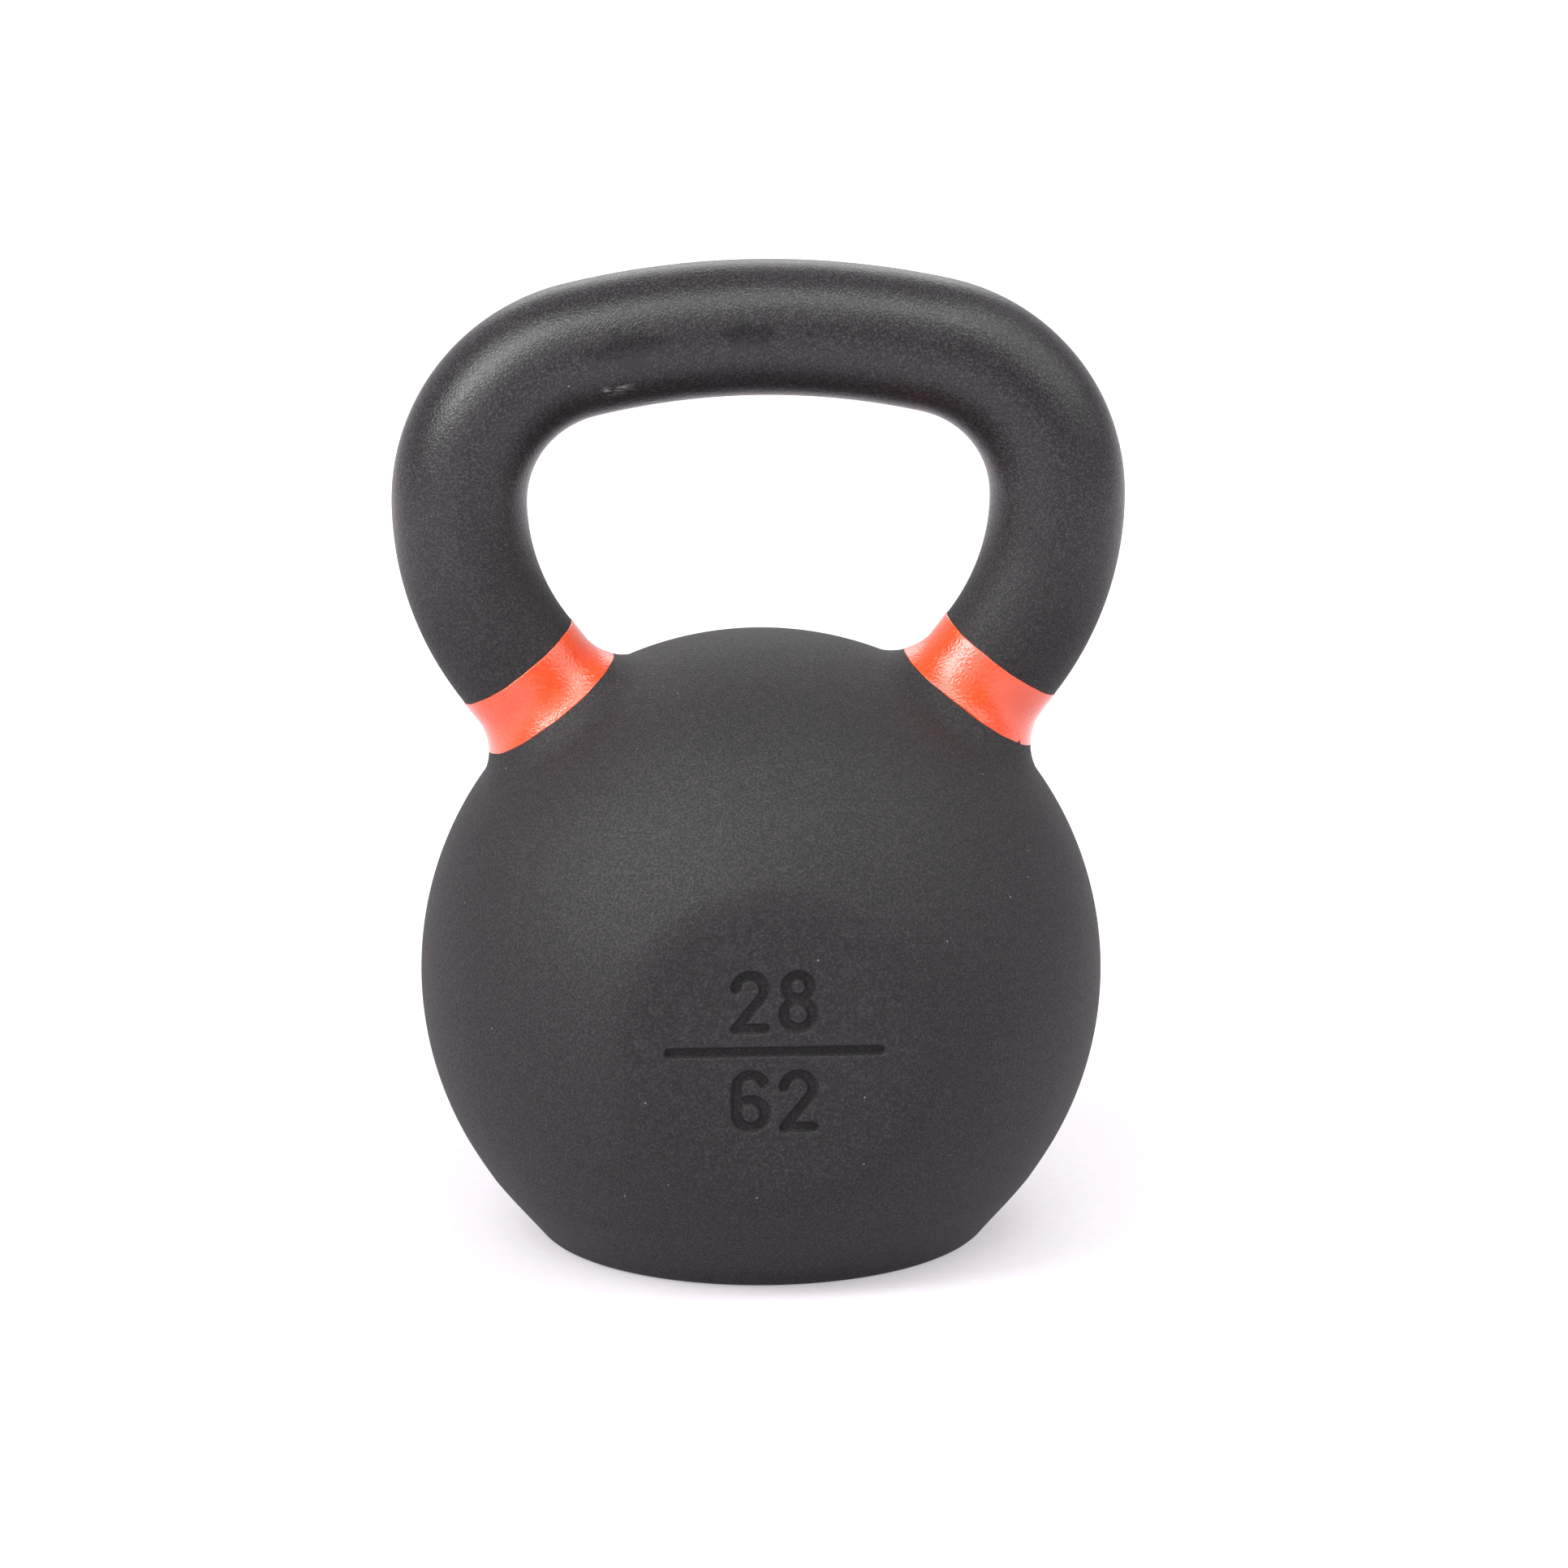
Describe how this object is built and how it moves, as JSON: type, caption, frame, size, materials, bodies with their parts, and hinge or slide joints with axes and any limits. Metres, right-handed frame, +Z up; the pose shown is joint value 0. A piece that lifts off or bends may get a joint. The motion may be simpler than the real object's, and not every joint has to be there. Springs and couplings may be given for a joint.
{
  "type": "kettlebell",
  "caption": "Solid cast-iron kettlebell: a ball with a flat base and flat front and back faces, and a looped handle with painted colour bands at its roots.",
  "frame": {"origin": "centre of the flat base, on the surface that the kettlebell stands on", "axes": "+Z up, +X along the grip, -Y towards the front face with the weight mark"},
  "size_m": [0.2052, 0.171, 0.279],
  "materials": {
    "cast_iron": "bare, ground flat underneath",
    "powder_coat": "matt, fine sandy texture",
    "band_paint": "satin over a fine sandy texture"
  },
  "bodies": {
    "root": {"iron_casting": "cast_iron", "powder_coat": "powder_coat", "left_colour_band": "band_paint", "right_colour_band": "band_paint"}
  },
  "joints": []
}
